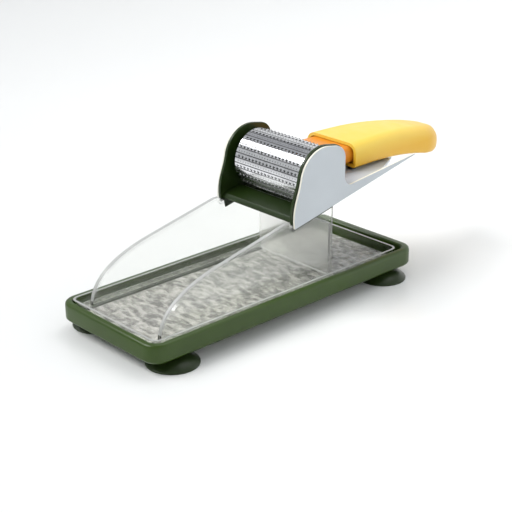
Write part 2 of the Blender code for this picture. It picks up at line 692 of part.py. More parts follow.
def build_runners():
    """Nylon runners under the cheeks: each lies on its rail and hangs down inside it."""
    up = RUNNER_THICKNESS + FIT_GAP
    web_outer = FLANGE_INNER - FIT_GAP
    outline = [
        (RUNNER_INNER, -RUNNER_LEG),
        (web_outer, -RUNNER_LEG),
        (web_outer, FIT_GAP),
        (CHEEK_OUTER - FIT_GAP, FIT_GAP),
        (CHEEK_OUTER - FIT_GAP, up),
        (RUNNER_INNER, up),
    ]
    rear = GUARD_REAR_Y - FIT_GAP
    middle = (RUNNER_FRONT + rear) / 2
    length = (rear - RUNNER_FRONT) / math.cos(RAIL_ANGLE)
    runners = []
    for side, label in ((-1, "left"), (1, "right")):
        shape = [(side * u, v) for u, v in outline]
        runners.append(
            slab(
                "rail_runner_" + label,
                shape,
                length,
                NYLON,
                location=(0, middle, rail_z(middle)),
                rotation=(math.radians(90) + RAIL_ANGLE, 0, 0),
            )
        )
    return runners


def blade_edge_y():
    """Rear end of the ramp, where its top comes within BLADE_GAP of the drum."""
    above = DRUM_Z - RAIL_HEIGHT - RUNNER_STACK - BLADE_THICKNESS - FIT_GAP - RAMP_THICKNESS
    normal = above * math.cos(RAIL_ANGLE)
    reach = math.sqrt((DRUM_RADIUS + BLADE_GAP) ** 2 - normal**2)
    return DRUM_Y + normal * math.sin(RAIL_ANGLE) - reach * math.cos(RAIL_ANGLE)


def build_cutting_parts():
    """A green ramp across the throat, with the blade under it and three screws from below."""
    half_width = CHEEK_INNER - FIT_GAP
    start = HEAD_FRONT + BLADE_INSET
    ramp_end = blade_edge_y()
    ramp_low = BLADE_THICKNESS + FIT_GAP
    ramp_high = ramp_low + RAMP_THICKNESS
    front = HEAD_FRONT + 1 * MM
    outline = [
        (front, cheek_foot_z(front)),
        (start - FIT_GAP, cheek_foot_z(start)),
        (start - FIT_GAP, cheek_foot_z(start) + ramp_low),
        (ramp_end, cheek_foot_z(ramp_end) + ramp_low),
        (ramp_end - RAMP_THICKNESS, cheek_foot_z(ramp_end - RAMP_THICKNESS) + ramp_high),
        (front + 1.5 * MM, cheek_foot_z(front + 1.5 * MM) + ramp_high),
        (front, cheek_foot_z(front) + ramp_low),
    ]
    ramp = slab("throat_ramp", outline, 2 * half_width, DARK_GREEN)
    edge = ramp_end + BLADE_EDGE
    bevel = BLADE_EDGE - FIT_GAP
    outline = [
        (start, cheek_foot_z(start)),
        (edge, cheek_foot_z(edge)),
        (edge, cheek_foot_z(edge) + 0.1 * MM),
        (edge - bevel, cheek_foot_z(edge - bevel) + BLADE_THICKNESS),
        (start, cheek_foot_z(start) + BLADE_THICKNESS),
    ]
    blade = slab("slicing_blade", outline, 2 * (half_width - 0.5 * MM), STEEL)
    down = Vector((0, math.sin(RAIL_ANGLE), -math.cos(RAIL_ANGLE)))
    y = (start + ramp_end) / 2
    bite = BLADE_THICKNESS + 2 * FIT_GAP + 0.6 * RAMP_THICKNESS
    screws = []
    for i, label in ((-1, "left"), (0, "middle"), (1, "right")):
        seat = Vector((i * SCREW_SPACING, y, cheek_foot_z(y))) + FIT_GAP * down
        hole_middle = seat - 0.5 * bite * down
        for piece in (ramp, blade):
            name = f"{piece.name}_hole_{label}"
            cut(piece, rod(name, hole_middle, SCREW_SHANK_RADIUS + FIT_GAP, bite + 2 * FIT_GAP, down, STEEL, 12))
        screws.append(build_screw("blade_screw_" + label, seat, down, bite - FIT_GAP))
    return [ramp, blade] + screws


def build_screw(name, seat, normal, length):
    """A pan-head screw: the underside of the head is at seat and the head points along normal."""
    dome = SCREW_HEAD_HEIGHT
    profile = [
        (0, dome),
        (SCREW_HEAD_RADIUS * 0.7, dome),
        (SCREW_HEAD_RADIUS, dome * 0.4),
        (SCREW_HEAD_RADIUS, 0),
        (SCREW_SHANK_RADIUS, 0),
        (SCREW_SHANK_RADIUS, -length),
        (0, -length),
    ]
    return turned(name, profile, seat, normal, STEEL, steps=16)


def build_scraper():
    """Green bar across the rear of the throat. Its hollow face wipes the drum, and its skirt turns the food
    forward into the liner."""
    wipe = DRUM_RADIUS + DRUM_CLEARANCE
    rear = HEAD_REAR
    front = rear - SCRAPER_DEPTH

    def start_angle(y):
        return math.degrees(math.atan2(-math.sqrt(wipe**2 - (y - DRUM_Y) ** 2), y - DRUM_Y))

    hollow = arc((DRUM_Y, DRUM_Z), wipe, start_angle(front), start_angle(rear), 6)
    outline = hollow + [(rear, cheek_foot_z(rear)), (front, cheek_foot_z(front))]
    bar = slab("drum_scraper", outline, 2 * (CHEEK_INNER - FIT_GAP), DARK_GREEN)
    tip = rear - SKIRT_REACH
    skirt = [
        (rear - 1 * MM, cheek_foot_z(rear) + 1 * MM),
        (front + 2 * MM, cheek_foot_z(front + 2 * MM) + 0.2 * MM),
        (tip, cheek_foot_z(tip) - SKIRT_DROP),
        (tip + SKIRT_THICKNESS, cheek_foot_z(tip) - SKIRT_DROP),
    ]
    return join(bar, slab("scraper_skirt", skirt, 2 * (RUNNER_INNER - FIT_GAP), DARK_GREEN))


# ---------------------------------------------------------------- drum


def build_drum():
    """A perforated steel tube on two capped hubs and an axle that turns in the cheeks' bushes."""
    inner = DRUM_RADIUS - DRUM_WALL
    half = DRUM_LENGTH / 2
    profile = [(DRUM_RADIUS, half), (DRUM_RADIUS, -half), (inner, -half), (inner, half)]
    shell = turned("drum_shell", profile, AXIS, (1, 0, 0), STEEL, steps=40)
    pitch = (DRUM_LENGTH - 12 * MM) / (DRUM_HOLES_IN_ROW - 1)
    half_hole = 3 * DRUM_WALL
    bm = bmesh.new()
    for row in range(DRUM_HOLE_ROWS):
        turn = Matrix.Rotation(2 * math.pi * (row + 0.25) / DRUM_HOLE_ROWS, 4, "X")
        for i in range(DRUM_HOLES_IN_ROW):
            x = (i - (DRUM_HOLES_IN_ROW - 1) / 2) * pitch
            place = Matrix.Translation(AXIS) @ turn @ Matrix.Translation((x, 0, DRUM_RADIUS))
            bmesh.ops.create_cone(
                bm,
                cap_ends=True,
                segments=6,
                radius1=DRUM_HOLE_RADIUS,
                radius2=DRUM_HOLE_RADIUS,
                depth=2 * half_hole,
                matrix=place,
            )
    cut(shell, mesh_object("drum_holes", mesh_from("drum_holes", bm), STEEL))
    bore = AXLE_RADIUS + FIT_GAP
    cap_radius = inner - FIT_GAP
    cap_profile = [
        (bore, 0),
        (cap_radius, 0),
        (cap_radius, -CAP_THICKNESS),
        (HUB_RADIUS, -CAP_THICKNESS),
        (HUB_RADIUS, -CAP_THICKNESS - HUB_HEIGHT),
        (bore, -CAP_THICKNESS - HUB_HEIGHT),
    ]
    caps = []
    for side, label in ((-1, "left"), (1, "right")):
        centre = AXIS + Vector((side * (half - CAP_RECESS), 0, 0))
        caps.append(turned("drum_cap_" + label, cap_profile, centre, (side, 0, 0), DARK_GREEN, steps=32))
    length = 2 * (CHEEK_OUTER - FIT_GAP)
    axle = rod("drum_axle", (0, DRUM_Y, DRUM_Z), AXLE_RADIUS, length, (1, 0, 0), STEEL, 24)
    return [shell, axle] + caps


def build_bushes():
    """Nylon bushes in the cheeks, and the washer that sets the drum over to the right."""
    inner = AXLE_RADIUS + FIT_GAP
    outer = inner + BUSH_WALL
    half = CHEEK_THICKNESS / 2
    profile = [(outer, half), (outer, -half), (inner, -half), (inner, half)]
    bushes = []
    for side, label in ((-1, "left"), (1, "right")):
        centre = (side * (CHEEK_INNER + half), DRUM_Y, DRUM_Z)
        bushes.append(turned("axle_bush_" + label, profile, centre, (side, 0, 0), NYLON, steps=24))
    long = SPACER_THICKNESS + DRUM_END_GAP + CAP_RECESS - 2 * FIT_GAP
    centre = (-CHEEK_INNER + FIT_GAP + long / 2, DRUM_Y, DRUM_Z)
    profile = [(outer, long / 2), (outer, -long / 2), (inner, -long / 2), (inner, long / 2)]
    return bushes + [turned("drum_spacer", profile, centre, (1, 0, 0), NYLON, steps=24)]


# ---------------------------------------------------------------- grip


def grip_half_width(y):
    share = min(max((y - LIP_Y) / (GRIP_LENGTH - GRIP_NOSE), 0), 1)
    ease = share * share * (3 - 2 * share)
    return GRIP_HALF_WIDTH + (GRIP_TAIL_HALF_WIDTH - GRIP_HALF_WIDTH) * ease


def grip_corner(y):
    """Radius of the upper edges, rounder towards the tail."""
    share = min(max((y - LIP_Y) / (GRIP_LENGTH - GRIP_NOSE), 0), 1)
    return GRIP_CORNER + (GRIP_TAIL_CORNER - GRIP_CORNER) * share * share


def grip_top(y):
    return GRIP_TOP - GRIP_TOP_CURVE * max(y - LIP_Y - GRIP_TOP_FLAT, 0) ** 2


def grip_bottom(y):
    return GRIP_BOTTOM - GRIP_BOTTOM_CURVE * max(y - LIP_Y - GRIP_BOTTOM_FLAT, 0) ** 2


def grip_sections(start, end, inset, drop, steps):
    """Rings along the grip. inset moves the sides and top in, and drop moves the underside down."""
    rings = []
    for i in range(steps + 1):
        y = start + (end - start) * i / steps
        half = grip_half_width(y) - inset
        low = grip_bottom(y) - drop
        rings.append(upright_ring(y, half, low, grip_top(y) - inset, grip_corner(y) - inset, GRIP_LOW_CORNER))
    return rings


def grip_nose(steps):
    """Rings that close the rounded tail of the grip."""
    base = GRIP_END - GRIP_NOSE
    rings = []
    for i in range(1, steps + 1):
        angle = math.radians(84 * i / steps)
        share = math.sin(angle)
        y = base + GRIP_NOSE * share
        side_share = max(y - GRIP_END + GRIP_NOSE_SIDE, 0) / GRIP_NOSE_SIDE
        middle = (grip_top(y) + grip_bottom(y)) / 2
        half_z = math.sqrt(1 - side_share**2) * (grip_top(y) - grip_bottom(y)) / 2
        half_x = grip_half_width(y) * math.cos(angle)
        round_off = 0.97 * min(half_z, half_x)
        corner = min(GRIP_TAIL_CORNER, round_off) * (1 - share) + round_off * share
        low_corner = min(GRIP_LOW_CORNER, round_off) * (1 - share) + round_off * share
        rings.append(upright_ring(y, half_x, middle - half_z, middle + half_z, corner, low_corner))
    return rings


def grip_nose_hollow():
    """Rings of the pocket that carries the cavity on into the tail, above the end of the base."""
    start = GRIP_END - GRIP_NOSE - 3 * MM
    end = GRIP_END - NOSE_SOLID
    rings = []
    for i in range(5):
        y = start + (end - start) * i / 4
        shrink = math.sqrt(1 - (max(y - GRIP_END + GRIP_NOSE, 0) / GRIP_NOSE) ** 2)
        middle = (grip_top(y) + grip_bottom(y)) / 2
        half_z = shrink * (grip_top(y) - grip_bottom(y)) / 2 - 1.5 * GRIP_WALL
        half_x = grip_half_width(y) * shrink - 2 * GRIP_WALL
        rings.append(upright_ring(y, half_x, middle - half_z, middle + half_z, 2 * MM))
    return rings


def build_grip():
    """Yellow shell, hollow from below and in front, with a hinge boss and two screw posts inside."""
    rings = grip_sections(LIP_Y, GRIP_END - GRIP_NOSE, 0, 0, 9) + grip_nose(8)
    shell = loft("grip_shell", rings, YELLOW)
    cavity_end = GRIP_END - GRIP_NOSE
    cavity = loft("grip_cavity", grip_sections(LIP_Y - 4 * MM, cavity_end, GRIP_WALL, 10 * MM, 8), YELLOW)
    hollow = loft("nose_hollow", grip_nose_hollow(), YELLOW)
    cut(shell, cavity, hollow)
    boss = [
        (PIN.y - EAR_RADIUS, grip_top(PIN.y) - GRIP_WALL / 2),
        *arc((PIN.y, PIN.z), EAR_RADIUS, 180, 360, 10),
        (PIN.y + EAR_RADIUS, grip_top(PIN.y) - GRIP_WALL / 2),
    ]
    join(shell, slab("grip_boss", boss, 2 * BOSS_HALF_WIDTH, YELLOW))
    cut(shell, rod("pin_bore_grip", PIN, PIN_RADIUS + FIT_GAP, 3 * BOSS_HALF_WIDTH, (1, 0, 0), YELLOW))
    for name, y in grip_screw_places():
        low = grip_bottom(y - POST_RADIUS) + GRIP_BASE_THICKNESS + FIT_GAP
        high = grip_top(y) - GRIP_WALL / 2
        middle = (0, y, (low + high) / 2)
        post = rod("post_" + name, middle, POST_RADIUS, high - low, (0, 0, 1), YELLOW, 16)
        bore = rod("post_bore_" + name, (0, y, low), SCREW_SHANK_RADIUS + FIT_GAP, 14 * MM, (0, 0, 1), YELLOW, 12)
        cut(join(shell, post), bore)
    return shell


def grip_screw_places():
    return [(label, LIP_Y + reach) for label, reach in zip(("front", "rear"), GRIP_SCREW_SETS)]


def build_grip_base():
    """Yellow cover under the grip, slotted where the hinge ears come through."""
    start = LIP_Y + 0.5 * MM
    end = GRIP_END - GRIP_NOSE - FIT_GAP
    rings = []
    for i in range(10):
        y = start + (end - start) * i / 9
        half = grip_half_width(y) - GRIP_WALL - FIT_GAP
        low = grip_bottom(y)
        corners = ((half, low), (half, low + GRIP_BASE_THICKNESS), (-half, low + GRIP_BASE_THICKNESS), (-half, low))
        rings.append([Vector((x, y, z)) for x, z in corners])
    base = loft("grip_base", rings, YELLOW)
    slot_half = BOSS_HALF_WIDTH + FIT_GAP + EAR_THICKNESS + 1 * MM
    low = (-slot_half, PIN.y - 6 * MM, PIN.z - 2 * GRIP_HEIGHT)
    high = (slot_half, PIN.y + 15 * MM, PIN.z)
    cut(base, block("hinge_slot", low, high, YELLOW))
    screws = []
    for label, y in grip_screw_places():
        low_z = grip_bottom(y) + 1.2 * MM
        name = "grip_screw_" + label
        well = rod("well_" + label, (0, y, low_z - 2.5 * MM), SCREW_HEAD_RADIUS + FIT_GAP, 5 * MM, (0, 0, 1), YELLOW, 16)
        hole = rod("hole_" + label, (0, y, low_z), SCREW_SHANK_RADIUS + FIT_GAP, 8 * MM, (0, 0, 1), YELLOW, 12)
        cut(base, well, hole)
        screws.append(build_screw(name, (0, y, low_z - FIT_GAP), (0, 0, -1), 6 * MM))
    return [base] + screws


def build_cup():
    """Amber food cup in the mouth of the grip, open to the drum and hollowed to clear it."""
    half = GRIP_HALF_WIDTH - GRIP_WALL - 2 * FIT_GAP
    low = GRIP_BOTTOM + GRIP_BASE_THICKNESS + FIT_GAP
    high = GRIP_TOP - GRIP_WALL - FIT_GAP
    corner = GRIP_CORNER - GRIP_WALL - FIT_GAP
    front = HEAD_REAR - 6 * MM
    rear = LIP_Y + CUP_DEPTH
    narrow = 0.8 * MM
    cup = loft(
        "food_cup",
        [upright_ring(front, half - narrow, low, high, corner), upright_ring(rear, half - narrow, low, high, corner)],
        AMBER,
    )
    inner_half = half - narrow - CUP_WALL
    hollow = loft(
        "cup_hollow",
        [
            upright_ring(front - 2 * MM, inner_half, low + CUP_WALL, high - CUP_WALL, corner - CUP_WALL),
            upright_ring(rear - 2 * CUP_WALL, inner_half, low + CUP_WALL, high - CUP_WALL, corner - CUP_WALL),
        ],
        AMBER,
    )
    sweep = rod("drum_sweep", AXIS, DRUM_RADIUS + DRUM_CLEARANCE, 3 * DRUM_LENGTH, (1, 0, 0), AMBER, 48)
    return cut(cup, hollow, sweep)


def build_hinge_pin():
    length = 2 * (BOSS_HALF_WIDTH + FIT_GAP + EAR_THICKNESS)
    return rod("hinge_pin", PIN, PIN_RADIUS, length, (1, 0, 0), STEEL, 20)


def build_pads():
    """Rubber pads on the tongue that the closed grip rests on."""
    y = LIP_Y + PAD_SET
    low = deck_z(y - PAD_RADIUS) + FIT_GAP
    high = GRIP_BOTTOM - FIT_GAP
    return [
        rod("rest_pad_" + label, (side * PAD_SPREAD, y, (low + high) / 2), PAD_RADIUS, high - low, (0, 0, 1), RUBBER)
        for side, label in ((-1, "left"), (1, "right"))
    ]


# ---------------------------------------------------------------- assembly


def axis_empty(name, place, parent):
    empty = bpy.data.objects.new(name, None)
    empty.empty_display_size = 10 * MM
    empty.location = Vector(place) - Vector(parent["place"])
    empty.parent = parent
    PARTS.objects.link(empty)
    empty["place"] = Vector(place)
    return empty


def hang(empty, objects):
    """Parents objects to the empty on their joint's axis, without moving them."""
    for obj in objects:
        obj.parent = empty
        obj.matrix_parent_inverse = Matrix.Translation(-Vector(empty["place"]))


bench = bpy.data.objects.new("bench", None)
bench["place"] = Vector((0, 0, 0))
PARTS.objects.link(bench)

liner_lift = axis_empty("liner_lift", (0, 0, LINER_BOTTOM), bench)
guard_lift = axis_empty("guard_lift", (0, 0, LINER_FLOOR_TOP), liner_lift)
head_slide = axis_empty("head_slide", (0, DRUM_Y, RAIL_HEIGHT), guard_lift)
drum_spin = axis_empty("drum_spin", AXIS, head_slide)
grip_hinge = axis_empty("grip_hinge", PIN, head_slide)

hang(bench, [build_tray()] + build_feet())
hang(liner_lift, [build_liner()])
hang(guard_lift, [build_guard()])
hang(head_slide, build_cheeks() + build_side_plates() + build_runners() + build_cutting_parts())
hang(head_slide, [build_tongue(), build_scraper(), build_hinge_pin()] + build_bushes() + build_pads())
hang(drum_spin, build_drum())
hang(grip_hinge, [build_grip(), build_cup()] + build_grip_base())
hang(bench, [helper for helper in HELPERS.objects if helper.parent is None])

bench.location.y = -(GRIP_END + TRAY_FRONT) / 2
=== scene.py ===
"""Looks of a table mandoline with a grating drum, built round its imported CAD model."""

import json
import math

import bmesh
import bpy
from mathutils import Matrix, Vector, noise

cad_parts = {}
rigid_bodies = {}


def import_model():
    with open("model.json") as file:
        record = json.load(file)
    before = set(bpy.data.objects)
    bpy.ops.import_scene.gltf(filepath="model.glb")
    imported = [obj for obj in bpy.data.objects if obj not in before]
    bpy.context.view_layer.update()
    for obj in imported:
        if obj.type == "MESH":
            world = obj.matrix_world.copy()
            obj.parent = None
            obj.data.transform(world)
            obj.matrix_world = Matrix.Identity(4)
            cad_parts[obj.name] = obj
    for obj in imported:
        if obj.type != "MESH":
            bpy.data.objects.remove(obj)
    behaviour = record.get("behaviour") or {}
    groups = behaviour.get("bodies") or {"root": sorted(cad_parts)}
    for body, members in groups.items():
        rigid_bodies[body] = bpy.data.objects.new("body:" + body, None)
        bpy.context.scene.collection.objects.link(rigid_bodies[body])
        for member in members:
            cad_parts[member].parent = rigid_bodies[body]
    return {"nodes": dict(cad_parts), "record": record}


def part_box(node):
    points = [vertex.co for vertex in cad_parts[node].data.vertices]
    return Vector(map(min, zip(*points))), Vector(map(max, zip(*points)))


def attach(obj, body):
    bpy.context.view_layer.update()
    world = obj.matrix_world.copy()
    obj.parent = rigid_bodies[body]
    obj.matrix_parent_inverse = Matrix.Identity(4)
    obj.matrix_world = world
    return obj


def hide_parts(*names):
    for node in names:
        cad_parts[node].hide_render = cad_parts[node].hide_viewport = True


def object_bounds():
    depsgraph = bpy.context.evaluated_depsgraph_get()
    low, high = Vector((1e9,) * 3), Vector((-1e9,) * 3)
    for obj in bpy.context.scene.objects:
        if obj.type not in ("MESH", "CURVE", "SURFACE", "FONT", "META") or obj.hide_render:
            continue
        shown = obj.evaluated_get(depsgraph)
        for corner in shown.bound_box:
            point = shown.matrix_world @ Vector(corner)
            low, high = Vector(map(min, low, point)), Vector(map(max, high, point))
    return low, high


MM = 0.001
SMOOTH_ANGLE = 38.0  # degrees: sharper corners are kept and softened with a bevel
WELD_DISTANCE = 0.002 * MM
FLAT_ANGLE = 0.4  # degrees: faces closer than this are one flat face

for leftover in list(bpy.data.objects):
    bpy.data.objects.remove(leftover)

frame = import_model()
NODES = frame["nodes"]
BODY_OF = {}
for body_name, members in frame["record"]["behaviour"]["bodies"].items():
    for member in members:
        BODY_OF[member] = body_name
CAD_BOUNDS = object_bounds()


# ---------------------------------------------------------------- materials

class Finish:
    """A Principled material and the nodes that drive it."""

    def __init__(self, name, base, roughness, **sockets):
        self.material = bpy.data.materials.new(name)
        self.material.use_nodes = True
        self.tree = self.material.node_tree
        self.shader = self.tree.nodes["Principled BSDF"]
        self.shader.inputs["Base Color"].default_value = (*base, 1)
        self.shader.inputs["Roughness"].default_value = roughness
        for label, value in sockets.items():
            self.shader.inputs[label.replace("_", " ")].default_value = value
        self.place = self.tree.nodes.new("ShaderNodeTexCoord").outputs["Object"]
        self.height = None
        self.material.diffuse_color = (*base, 1)

    def node(self, kind, **inputs):
        """A new node, with each input set or linked."""
        made = self.tree.nodes.new(kind)
        for label, value in inputs.items():
            socket = made.inputs[label.replace("_", " ")]
            if hasattr(value, "links"):
                self.tree.links.new(value, socket)
            else:
                socket.default_value = value
        return made

    def stretched(self, x, y, z):
        """Object coordinates scaled along each axis, for grain that runs one way."""
        mapping = self.node("ShaderNodeMapping", Vector=self.place)
        mapping.inputs["Scale"].default_value = (x, y, z)
        return mapping.outputs["Vector"]

    def noise(self, scale, detail=3.0, vector=None):
        """A noise over the object's own coordinates, or over stretched ones."""
        made = self.node("ShaderNodeTexNoise", Vector=vector or self.place, Scale=scale, Detail=detail)
        made.inputs["Roughness"].default_value = 0.55
        return made.outputs["Fac"]

    def span(self, value, low, high, start=0.3, end=0.7):
        """Maps a value from start to end on to low to high."""
        made = self.node("ShaderNodeMapRange", Value=value)
        made.inputs["From Min"].default_value = start
        made.inputs["From Max"].default_value = end
        made.inputs["To Min"].default_value = low
        made.inputs["To Max"].default_value = high
        return made.outputs["Result"]

    def tint(self, value, first, second, start=0.3, end=0.7):
        """Base colour that runs from first to second with a value."""
        ramp = self.node("ShaderNodeValToRGB", Fac=value)
        ramp.color_ramp.elements[0].position = start
        ramp.color_ramp.elements[1].position = end
        ramp.color_ramp.elements[0].color = (*first, 1)
        ramp.color_ramp.elements[1].color = (*second, 1)
        self.tree.links.new(ramp.outputs["Color"], self.shader.inputs["Base Color"])

    def gloss(self, value, low, high):
        """Roughness that runs from low to high with a noise."""
        self.tree.links.new(self.span(value, low, high, 0.15, 0.85), self.shader.inputs["Roughness"])

    def bump(self, value, depth, strength=1.0):
        """Adds relief of a depth in metres on top of any relief already there."""
        made = self.node("ShaderNodeBump", Height=value)
        made.inputs["Distance"].default_value = depth
        made.inputs["Strength"].default_value = strength
        if self.height is not None:
            self.tree.links.new(self.height, made.inputs["Normal"])
        self.height = made.outputs["Normal"]
        self.tree.links.new(self.height, self.shader.inputs["Normal"])


def shade(color, amount):
    """A colour made darker or lighter."""
    return tuple(min(channel * amount, 1.0) for channel in color)


def moulded(name, color, roughness, mottle=0.08, grain=0.02 * MM, grain_scale=1800.0, **sockets):
    """Moulded plastic or rubber: faint flow marks in the colour, uneven polish and a fine skin."""
    made = Finish(name, color, roughness, **sockets)
    made.shader.inputs["Specular IOR Level"].default_value = 0.35
    flow = made.noise(38.0, 2.0)
    made.tint(flow, shade(color, 1 - mottle), shade(color, 1 + mottle))
    made.gloss(made.noise(110.0, 1.0), roughness - 0.04, roughness + 0.07)
    made.bump(made.noise(26.0, 1.0), 0.12 * MM, 0.35)
    made.bump(made.noise(grain_scale, 2.0), grain, 0.5)
    return made.material


def steel(name, color, roughness, along, scratch=0.012 * MM):
    """Steel with fine lines along one axis and a faint cloud in its polish."""
    made = Finish(name, color, roughness, Metallic=1.0)
    scale = [1600.0, 1600.0, 1600.0]
    scale[along] = 22.0
    lines = made.noise(1.0, 4.0, vector=made.stretched(*scale))
    cloud = made.noise(90.0, 3.0)
    made.tint(cloud, shade(color, 0.9), shade(color, 1.06))
    made.gloss(lines, max(roughness - 0.05, 0.03), roughness + 0.09)
    made.bump(lines, scratch, 0.6)
    return made.material


def clear(name, color, roughness, waviness=0.0, hammer=0.0, clearness=1.0):
    """Clear moulded plastic that lets lamps through, plain or with a hammered face whose light and dark
    colour streaks are painted glints and shade.
    """
    made = Finish(name, color, roughness, Transmission_Weight=clearness, IOR=1.46)
    if waviness:
        made.bump(made.noise(55.0, 2.0), waviness, 0.5)
        made.gloss(made.noise(300.0, 3.0), roughness, roughness + 0.05)
    if hammer:
        cells = made.node("ShaderNodeTexVoronoi", Vector=made.place, Scale=210.0)
        cells.feature = "SMOOTH_F1"
        cells.inputs["Smoothness"].default_value = 0.8
        made.bump(cells.outputs["Distance"], hammer, 1.0)
        made.bump(made.noise(520.0, 3.0), hammer * 0.35, 0.8)
        # Painted light: light and dark streaks in the colour stand for glints and shade in the hammered
        # face.
        painted_glint_streaks = made.noise(330.0, 2.0, vector=made.stretched(0.45, 1.0, 1.0))
        made.tint(painted_glint_streaks, shade(color, 0.6), shade(color, 1.15), 0.4, 0.6)
        made.gloss(made.noise(260.0, 3.0), roughness, roughness + 0.12)
    output = made.tree.nodes["Material Output"]
    lamp_ray = made.tree.nodes.new("ShaderNodeLightPath").outputs["Is Shadow Ray"]
    through = made.tree.nodes.new("ShaderNodeBsdfTransparent")
    through.inputs["Color"].default_value = (*shade(color, 0.93), 1)
    mix = made.tree.nodes.new("ShaderNodeMixShader")
    made.tree.links.new(lamp_ray, mix.inputs["Fac"])
    made.tree.links.new(made.shader.outputs["BSDF"], mix.inputs[1])
    made.tree.links.new(through.outputs["BSDF"], mix.inputs[2])
    made.tree.links.new(mix.outputs["Shader"], output.inputs["Surface"])
    return made.material


def yellow_with_painted_crown_light(name):
    """Yellow moulding with painted light: pale where lit on its crown and deeper where shaded towards its
    underside.
    """
    made = Finish(name, (0.86, 0.47, 0.035), 0.34, Coat_Weight=0.08, Coat_Roughness=0.2)
    split = made.node("ShaderNodeSeparateXYZ", Vector=made.place)
    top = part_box("grip_shell")[1].z
    # Painted light: the colour grows paler towards the top, by height, as if lit from above.
    painted_light_share = made.span(split.outputs["Z"], 0.0, 1.0, top - 15 * MM, top - 1 * MM)
    wander = made.span(made.noise(45.0, 2.0), -0.06, 0.06)
    painted_light_and_tone = made.node("ShaderNodeMath")
    made.tree.links.new(painted_light_share, painted_light_and_tone.inputs[0])
    made.tree.links.new(wander, painted_light_and_tone.inputs[1])
    made.tint(painted_light_and_tone.outputs["Value"], YELLOW_PAINTED_SHADE_SIDE, YELLOW_PAINTED_LIT_CROWN, 0.1, 0.95)
    made.gloss(made.noise(120.0, 1.0), 0.28, 0.42)
    made.bump(made.noise(28.0, 1.0), 0.12 * MM, 0.3)
    made.bump(made.noise(1700.0, 2.0), 0.02 * MM, 0.5)
    return made.material


# Painted light: the grip's yellow as a shaded side colour and a lit crown colour.
YELLOW_PAINTED_SHADE_SIDE = (0.81, 0.45, 0.017)
YELLOW_PAINTED_LIT_CROWN = (0.93, 0.66, 0.085)

TRAY_GREEN = moulded("tray_green", (0.032, 0.066, 0.004), 0.34, Coat_Weight=0.12, Coat_Roughness=0.1)
CHEEK_GREEN = moulded("cheek_green", (0.016, 0.034, 0.005), 0.34, Coat_Weight=0.2, Coat_Roughness=0.12)
FOOT_GREEN = moulded("foot_green", (0.018, 0.033, 0.008), 0.34, 0.15, 0.03 * MM, 1200.0)
PLATE_GREY = moulded("plate_grey", (0.56, 0.6, 0.635), 0.36, 0.025, 0.02 * MM, 2400.0)
# Painted highlight: a cream colour for the side plates' edges, where light catches them.
PLATE_EDGE_PAINTED_HIGHLIGHT = moulded("plate_edge_painted_highlight", (0.86, 0.84, 0.74), 0.4, 0.04)
# The grip's yellow, with its painted crown highlight and painted side shade.
GRIP_YELLOW_PAINTED_LIGHT = yellow_with_painted_crown_light("grip_yellow_painted_light")
# Painted shade: a deep orange that stands for the grip's yellow in shadow inside its mouth.
CUP_ORANGE_PAINTED_SHADE = moulded("neck_orange_painted_shade", (0.75, 0.25, 0.01), 0.34, 0.1, Coat_Weight=0.2, Coat_Roughness=0.2)
DARK_NYLON = moulded("dark_nylon", (0.03, 0.04, 0.022), 0.42, 0.1)
PAD_BLACK = moulded("pad_black", (0.02, 0.02, 0.02), 0.6, 0.2, 0.05 * MM, 1500.0)
DRUM_STEEL = steel("drum_steel", (0.82, 0.82, 0.84), 0.14, 0)
# Painted shade: darker steel for the pressed lines between rows, where shade falls in the creases.
DRUM_GROOVE_PAINTED_SHADE = steel("drum_groove_painted_shade", (0.2, 0.2, 0.205), 0.3, 0)
# Painted shade: near-black steel for the holes' walls and the bore, where shade falls inside.
DRUM_INSIDE_PAINTED_SHADE = steel("drum_inside_painted_shade", (0.03, 0.03, 0.03), 0.5, 0)
BLADE_STEEL = steel("blade_steel", (0.66, 0.67, 0.69), 0.26, 1, 0.02 * MM)
BRIGHT_STEEL = steel("bright_steel", (0.74, 0.74, 0.76), 0.18, 2)
TOOTH_STEEL = steel("tooth_steel", (0.58, 0.58, 0.6), 0.22, 1)
CLEAR_GUARD = clear("clear_guard", (0.97, 0.98, 0.96), 0.02, 0.1 * MM)
CLEAR_LINER = clear("clear_liner", (0.94, 0.96, 0.92), 0.04, 0.15 * MM)
# The hammered floor finish, with real bumps and painted glints and shade in its colour.
HAMMERED_WITH_PAINTED_GLINTS = clear("clear_hammered_painted_glints", (0.8, 0.795, 0.76), 0.08, 0.0, 0.5 * MM, 0.72)
# Painted highlight: a paler, less clear finish for clear edges that catch light.
CLEAR_EDGE_PAINTED_HIGHLIGHT = clear("clear_edge_painted_highlight", (0.93, 0.94, 0.92), 0.2, 0.05 * MM, 0.0, 0.6)
# Painted highlight: a faintly milky finish that pales the guard's rear wall and its edges.
CLEAR_REAR_PAINTED_HIGHLIGHT = clear("clear_rear_painted_highlight", (0.95, 0.95, 0.93), 0.12, 0.05 * MM, 0.0, 0.8)


# ------------------------------------------------------------------ pieces

def weld(bm):
    """Joins corners that meet and drops the edges that cross flat faces."""
    bmesh.ops.remove_doubles(bm, verts=bm.verts, dist=WELD_DISTANCE)
    flat = math.radians(FLAT_ANGLE)
    bmesh.ops.dissolve_limit(
        bm, angle_limit=flat, use_dissolve_boundaries=False, verts=bm.verts, edges=bm.edges
    )


def dress(piece, node, material, smooth_angle=SMOOTH_ANGLE):
    """Gives a piece its finish and its body, and hides the CAD node it stands for."""
    piece.data.materials.clear()
    piece.data.materials.append(material)
    piece.data.shade_smooth()
    piece.data.set_sharp_from_angle(angle=math.radians(smooth_angle))
    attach(piece, BODY_OF[node])
    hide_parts(node)


